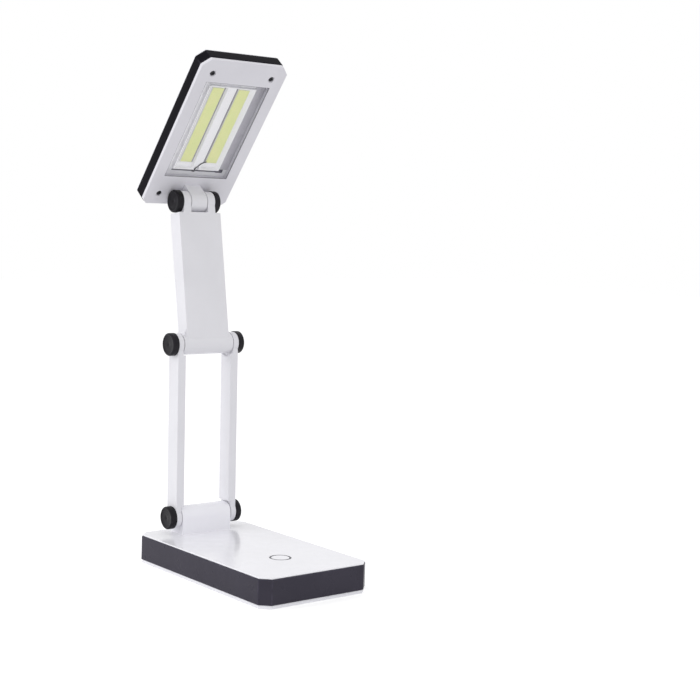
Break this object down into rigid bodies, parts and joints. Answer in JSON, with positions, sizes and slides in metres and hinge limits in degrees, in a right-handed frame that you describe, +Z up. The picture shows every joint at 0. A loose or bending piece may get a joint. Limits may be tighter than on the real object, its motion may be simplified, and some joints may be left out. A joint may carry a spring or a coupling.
{
  "type": "folding led desk lamp",
  "caption": "Folding desk lamp: a flat battery base, a frame-shaped lower arm, an upper arm that folds inside it, and a flat LED head that closes over the stack.",
  "frame": {"origin": "middle of the base's footprint, in the plane that the base stands on", "axes": "+Z up, -Y to the front edge with the button, +Y to the hinge end, +X to the side with the charging socket"},
  "size_m": [0.074, 0.1529, 0.2999],
  "materials": {
    "white_shell": "gloss",
    "warm_shell": "gloss",
    "charcoal_rim": "satin",
    "black_cap": "matte",
    "rubber_foot": "matte",
    "steel": "satin",
    "washer": "matte",
    "grey_ring": "gloss",
    "board_green": "satin",
    "black_part": "matte",
    "cell_sleeve": "satin",
    "wire_jacket": "matte",
    "clear_window": "gloss",
    "reflector_white": "satin",
    "strip_base": "matte",
    "strip_yellow": "matte"
  },
  "bodies": {
    "base": {"base_bottom_plate": "white_shell", "base_rim": "charcoal_rim", "base_top_cover": "white_shell", "base_feet": "rubber_foot", "base_screws": "steel", "button_ring": "grey_ring", "switch_body": "steel", "control_board": "board_green", "board_components": "black_part", "board_screws": "steel", "charge_socket": "steel", "battery_tray": "black_part", "battery_cells": "cell_sleeve", "battery_springs": "steel", "battery_plates": "steel", "base_wires": "wire_jacket"},
    "power_button": {"power_button": "white_shell", "switch_plunger": "black_part"},
    "battery_door": {"battery_door": "white_shell"},
    "lower_arm": {"left_leg": "warm_shell", "right_leg": "warm_shell", "leg_covers": "warm_shell", "lower_arm_caps": "black_cap", "lower_arm_wire": "wire_jacket", "base_hinge_screw": "steel", "base_hinge_nut": "steel", "base_hinge_washers": "washer", "mid_hinge_screw": "steel", "mid_hinge_nut": "steel", "mid_hinge_washers": "washer"},
    "upper_arm": {"upper_arm_housing": "warm_shell", "upper_arm_cover": "warm_shell", "upper_arm_screws": "steel", "upper_arm_wire": "wire_jacket"},
    "head_hinge_shaft": {"head_hinge_caps": "black_cap", "head_hinge_screw": "steel", "head_hinge_nut": "steel", "head_hinge_washers": "washer"},
    "head": {"head_face_plate": "warm_shell", "head_rim": "charcoal_rim", "head_back_cover": "white_shell", "head_screws": "steel", "lens": "clear_window", "reflector": "reflector_white", "led_substrates": "strip_base", "led_strips": "strip_yellow", "led_driver_board": "board_green", "head_wires": "wire_jacket"}
  },
  "joints": [
    {"name": "power_button_press", "type": "slide", "parent": "base", "child": "power_button", "axis": [0, 0, -1], "range_m": [0, 0.0006], "stiffness_N_per_m": 2500},
    {"name": "battery_door_slide", "type": "slide", "parent": "base", "child": "battery_door", "axis": [0, 1, 0], "range_m": [0, 0.05]},
    {"name": "base_hinge", "type": "hinge", "parent": "base", "child": "lower_arm", "pos_m": [0, 0.0522, 0.027], "axis": [1, 0, 0], "range_deg": [-8, 91]},
    {"name": "mid_hinge", "type": "hinge", "parent": "lower_arm", "child": "upper_arm", "pos_m": [0, 0.05401, 0.13048], "axis": [-1, 0, 0], "range_deg": [-8.7, 171.3]},
    {"name": "head_fold", "type": "hinge", "parent": "upper_arm", "child": "head_hinge_shaft", "pos_m": [0, 0.06839, 0.21466], "axis": [1, 0, 0], "range_deg": [-5.95, 116.42]},
    {"name": "head_tilt", "type": "hinge", "parent": "head_hinge_shaft", "child": "head", "pos_m": [0, 0.06839, 0.21466], "axis": [1, 0, 0], "range_deg": [-45, 15]}
  ],
  "couplings": [
    {"joint": "head_fold", "follows": "mid_hinge", "ratio": 0.6795}
  ]
}
